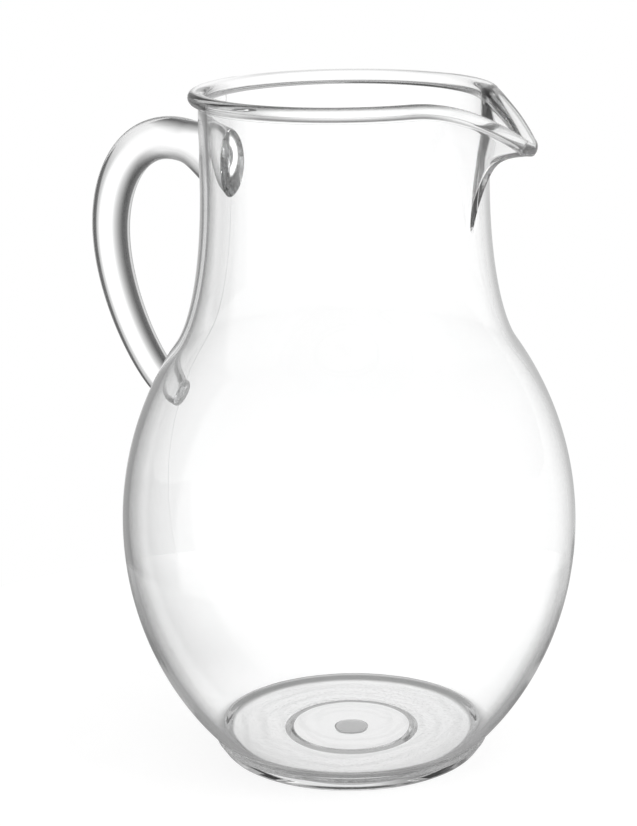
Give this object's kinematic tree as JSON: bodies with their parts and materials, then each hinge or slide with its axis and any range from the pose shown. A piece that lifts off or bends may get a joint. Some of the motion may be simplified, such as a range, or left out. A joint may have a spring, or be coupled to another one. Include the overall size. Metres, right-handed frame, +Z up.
{
  "type": "pitcher",
  "caption": "Clear plastic pitcher: round bowl, narrow neck with a beaded rim, pulled spout and a loop handle bonded to the wall, for holding and pouring drinks.",
  "frame": {"origin": "on the standing face's plane, under the middle of the whole pitcher's length and width", "axes": "+Z up along the bowl's axis, +X toward the pouring spout, the handle at -X, +Y across"},
  "size_m": [0.1886, 0.1616, 0.24],
  "materials": {
    "clear_wall": "polished clear",
    "clear_bar": "polished clear",
    "bond": "clear cement"
  },
  "bodies": {
    "root": {"vessel": "clear_wall", "handle": "clear_bar", "upper_bond": "bond", "lower_bond": "bond"}
  },
  "joints": []
}
